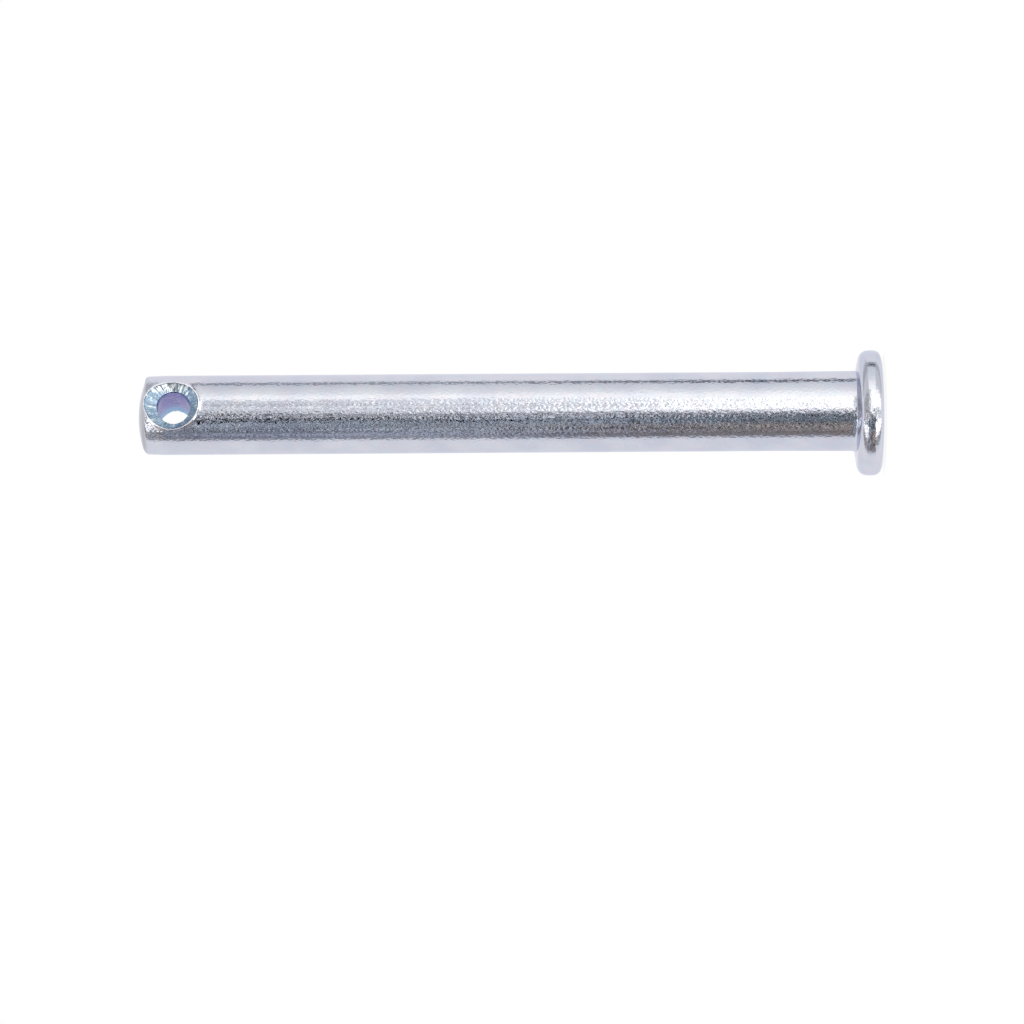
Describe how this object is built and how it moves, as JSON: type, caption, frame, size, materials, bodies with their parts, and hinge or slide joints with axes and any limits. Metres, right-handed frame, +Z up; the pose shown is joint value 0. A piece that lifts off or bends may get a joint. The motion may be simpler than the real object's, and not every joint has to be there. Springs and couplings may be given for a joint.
{
  "type": "clevis pin",
  "caption": "Headed clevis pin: plain round shank, low disc head with a bulged rim, domed end and a relieved cross hole for a split pin.",
  "frame": {"origin": "on the shank's axis at the outer face of the head, on which the pin stands", "axes": "+Z up along the shank's axis, from the head to the domed end; Y along the cross hole; -X is the side to which the head and the hole run off the shank's axis"},
  "size_m": [0.0125, 0.0124, 0.0742],
  "materials": {
    "zinc_plated_steel": "bright zinc plate with a clear blue passivate, finely grained, over cold-headed steel"
  },
  "bodies": {
    "root": {"clevis_pin": "zinc_plated_steel"}
  },
  "joints": []
}
